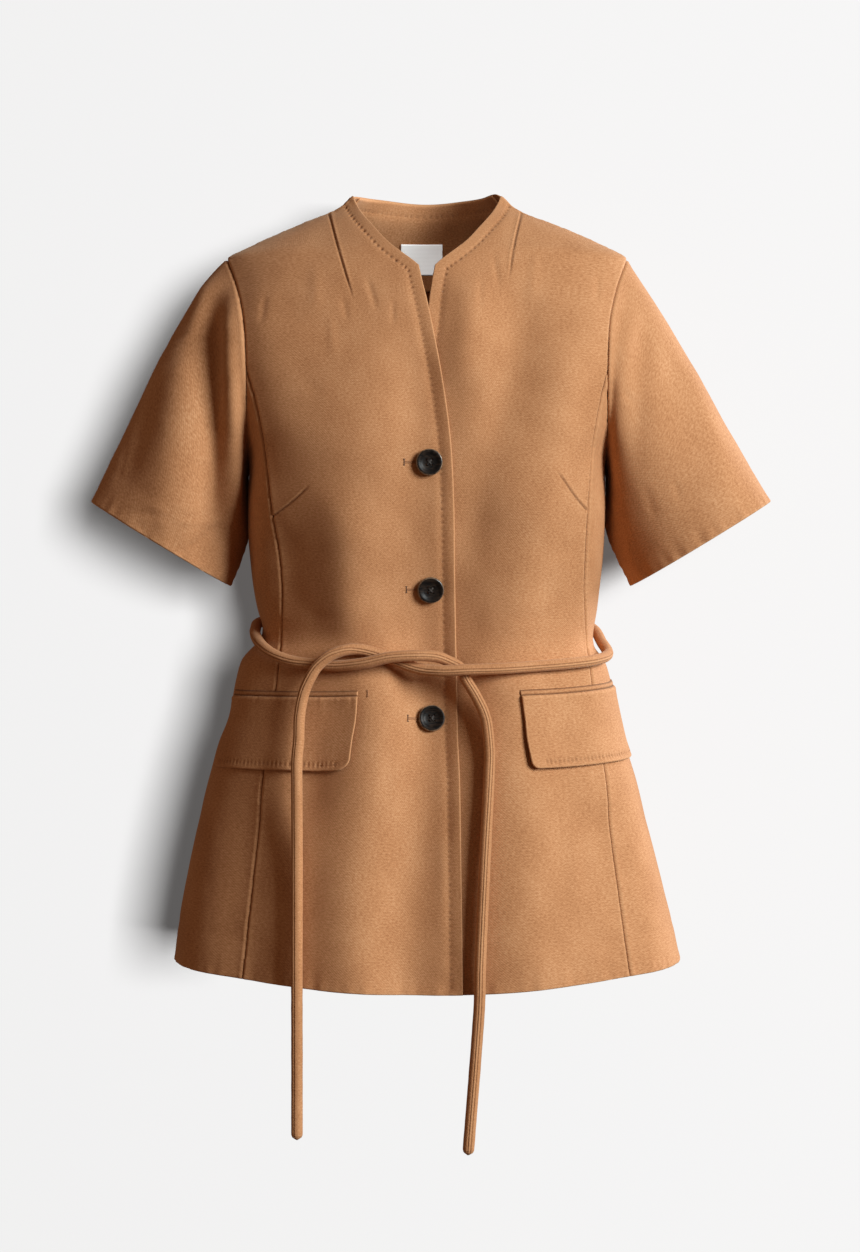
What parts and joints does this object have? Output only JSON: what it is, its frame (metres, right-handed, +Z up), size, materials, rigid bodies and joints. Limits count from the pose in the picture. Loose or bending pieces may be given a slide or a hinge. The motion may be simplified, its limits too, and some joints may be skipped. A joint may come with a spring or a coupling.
{
  "type": "short-sleeved jacket",
  "caption": "Filled-out jacket with a stand neck, princess seams, flared short sleeves, buttoned lap front, flap pockets and a round tie belt.",
  "frame": {"origin": "middle of the neck, level with the neck ends of the shoulder seams, where the wearer's shoulders carry the jacket", "axes": "+Z up, -Y out of the centre front, +X to the wearer's left"},
  "size_m": [0.61, 0.2819, 0.8372],
  "materials": {
    "cloth": "camel wool-blend twill with a short nap",
    "button": "dark horn-effect, polished rim",
    "label": "white woven tape, blank"
  },
  "bodies": {
    "root": {"front_right": "cloth", "front_left": "cloth", "side_right": "cloth", "side_left": "cloth", "back": "cloth", "sleeve_right": "cloth", "sleeve_left": "cloth", "neck_facing": "cloth", "label": "label", "flap_right": "cloth", "flap_left": "cloth", "welt_right": "cloth", "welt_left": "cloth", "button_top": "button", "button_middle": "button", "button_bottom": "button", "belt_right": "cloth", "belt_left": "cloth"}
  },
  "joints": []
}
